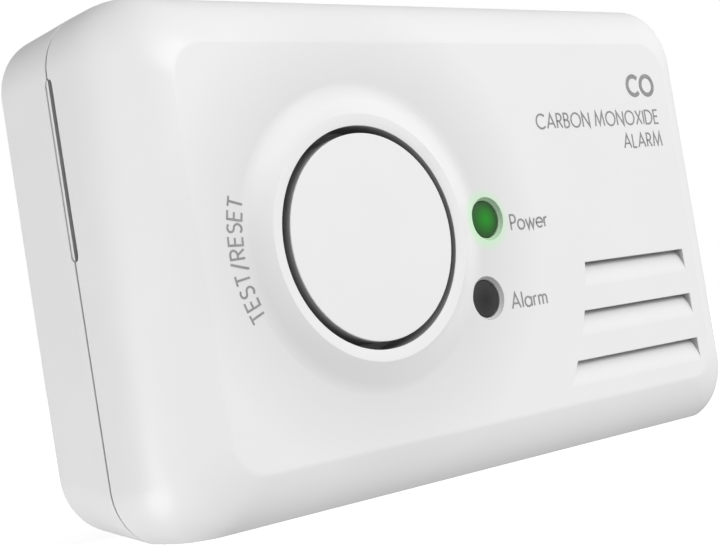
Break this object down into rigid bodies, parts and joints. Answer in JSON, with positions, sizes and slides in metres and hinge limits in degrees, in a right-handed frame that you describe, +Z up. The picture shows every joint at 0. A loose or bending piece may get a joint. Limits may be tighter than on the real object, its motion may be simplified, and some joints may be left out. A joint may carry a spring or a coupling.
{
  "type": "carbon monoxide detector",
  "caption": "Battery powered carbon monoxide detector for a shelf or a wall, with a large round test button, status lamps, sounder louvres, keyholes and a hinged battery door.",
  "frame": {"origin": "middle of the underside, half way between the rim round the button and the back", "axes": "+X to the right of the face, +Y from the face to the back, +Z up"},
  "size_m": [0.115, 0.0316, 0.071],
  "materials": {
    "case_plastic": "fine satin texture, white",
    "button_plastic": "satin, white",
    "power_lens": "green epoxy, lit",
    "alarm_lens": "smoked epoxy, unlit",
    "circuit_board": "green solder mask",
    "black_plastic": "matt, black",
    "grey_plastic": "satin, grey",
    "plated_steel": "nickel plated",
    "sounder_brass": "bright sheet",
    "sounder_ceramic": "fired ceramic",
    "ferrite": "dull grey ferrite",
    "cell_jacket": "printed sleeve, plain",
    "label_paper": "satin film, blank"
  },
  "bodies": {
    "case": {"front_cover": "case_plastic", "rear_housing": "case_plastic", "rating_label": "label_paper", "button_spring": "plated_steel", "switch_body": "black_plastic", "main_board": "circuit_board", "power_lamp": "power_lens", "alarm_lamp": "alarm_lens", "microcontroller": "black_plastic", "inductor": "ferrite", "capacitor_1": "black_plastic", "capacitor_2": "black_plastic", "sensor_can": "plated_steel", "sensor_cap": "grey_plastic", "sounder_disc": "sounder_brass", "sounder_ceramic": "sounder_ceramic", "sounder_holder": "grey_plastic", "sounder_contact_1": "plated_steel", "sounder_contact_2": "plated_steel", "battery_upper": "cell_jacket", "battery_lower": "cell_jacket", "battery_spring_upper": "plated_steel", "battery_spring_lower": "plated_steel", "contact_bridge": "plated_steel", "positive_terminal": "plated_steel", "negative_terminal": "plated_steel", "case_screw_1": "plated_steel", "case_screw_2": "plated_steel", "case_screw_3": "plated_steel", "case_screw_4": "plated_steel", "board_screw_1": "plated_steel", "board_screw_2": "plated_steel", "board_screw_3": "plated_steel", "board_screw_4": "plated_steel"},
    "button": {"test_button": "button_plastic"},
    "plunger": {"switch_plunger": "grey_plastic"},
    "door": {"battery_door": "case_plastic"}
  },
  "joints": [
    {"name": "button_press", "type": "slide", "parent": "case", "child": "button", "axis": [0, 1, 0], "range_m": [0, 0.0008], "stiffness_N_per_m": 600, "springref_m": -0.0015, "deforming": ["button_spring"]},
    {"name": "switch_travel", "type": "slide", "parent": "case", "child": "plunger", "axis": [0, 1, 0], "range_m": [0, 0.0004]},
    {"name": "door_hinge", "type": "hinge", "parent": "case", "child": "door", "pos_m": [0, 0.0158, 0.0054], "axis": [-1, 0, 0], "range_deg": [0, 95]}
  ],
  "couplings": [
    {"joint": "switch_travel", "follows": "button_press", "ratio": 0.5}
  ]
}
